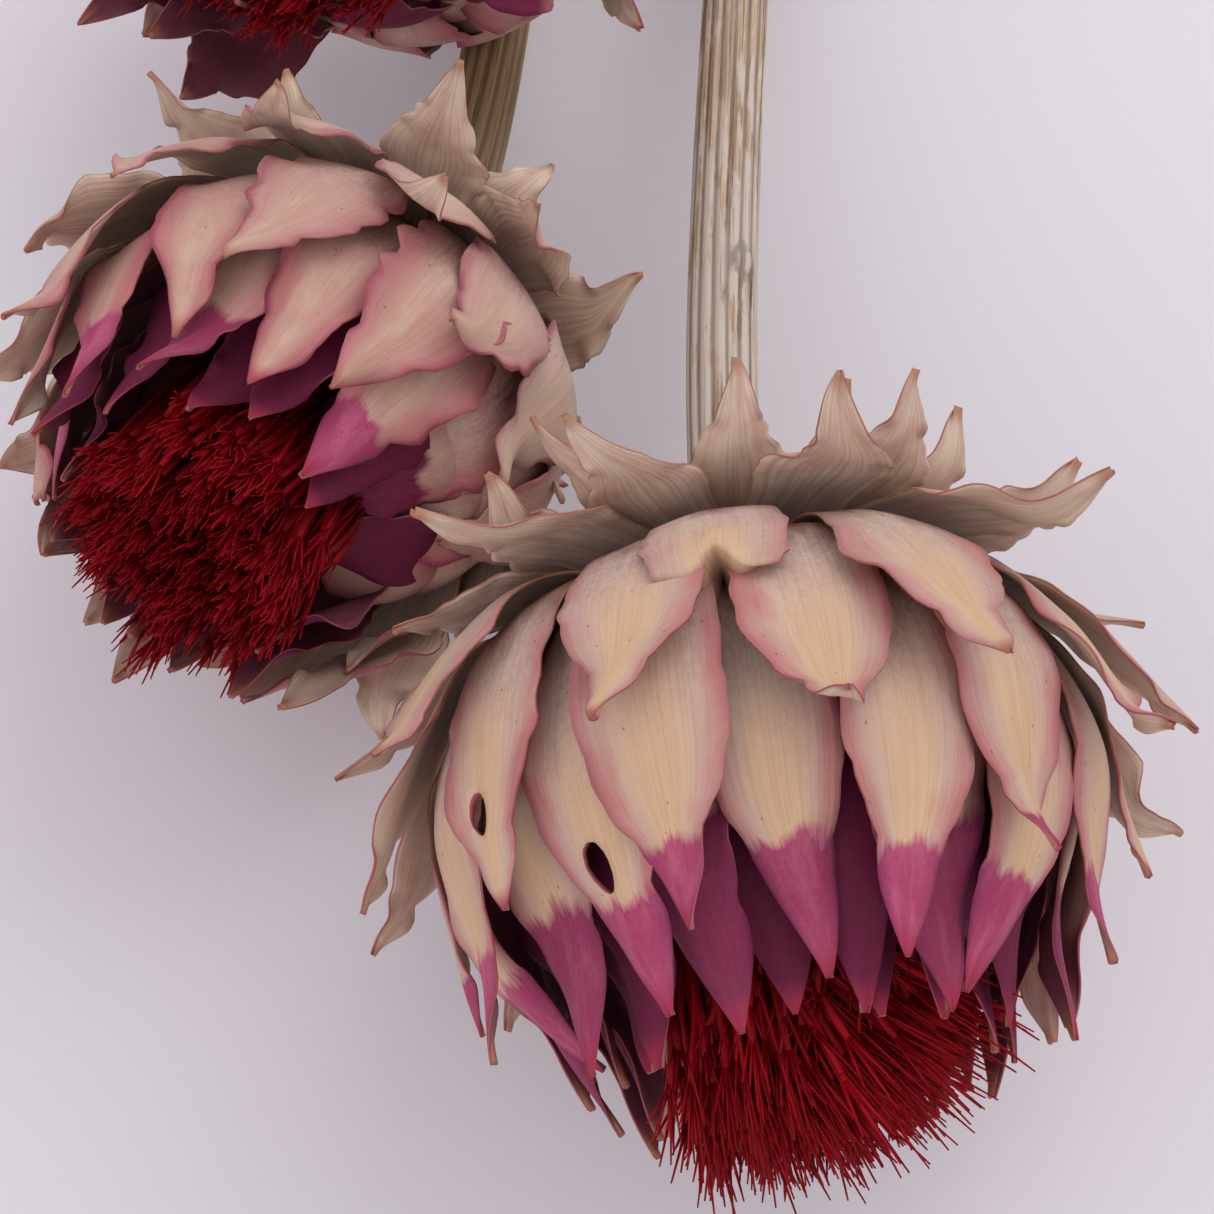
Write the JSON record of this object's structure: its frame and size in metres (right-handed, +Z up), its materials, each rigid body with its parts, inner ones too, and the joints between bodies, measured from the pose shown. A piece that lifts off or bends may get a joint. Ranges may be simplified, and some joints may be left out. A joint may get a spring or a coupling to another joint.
{
  "type": "bunch of dried artichoke flowers",
  "caption": "Bunch of dried artichoke flowers lying on its side: round heads of overlapping pointed bracts with crimson floret tufts, on long ribbed stems.",
  "frame": {"origin": "middle of the bunch's footprint, on the surface that it lies on", "axes": "+Y along the bunch, from the flower heads to the cut ends of the stems; +Z up from the surface"},
  "size_m": [0.198, 0.4016, 0.136],
  "materials": {
    "outer_bract": "dry matt, powdery",
    "inner_bract": "dry satin",
    "florets": "matt fibres",
    "heart": "dry pith, matt",
    "dried_stem": "dry ribbed straw, matt"
  },
  "bodies": {
    "root": {"back_bract_row_1": "outer_bract", "back_bract_row_2": "outer_bract", "back_bract_row_3": "inner_bract", "back_bract_row_4": "inner_bract", "back_floret_tuft": "florets", "back_heart": "heart", "back_stem": "dried_stem", "front_bract_row_1": "outer_bract", "front_bract_row_2": "outer_bract", "front_bract_row_3": "outer_bract", "front_bract_row_4": "outer_bract", "front_bract_row_5": "outer_bract", "front_bract_row_6": "inner_bract", "front_bract_row_7": "inner_bract", "front_floret_tuft": "florets", "front_heart": "heart", "front_stem": "dried_stem", "left_bract_row_1": "outer_bract", "left_bract_row_2": "outer_bract", "left_bract_row_3": "outer_bract", "left_bract_row_4": "inner_bract", "left_bract_row_5": "inner_bract", "left_floret_tuft": "florets", "left_heart": "heart", "left_stem": "dried_stem"}
  },
  "joints": []
}
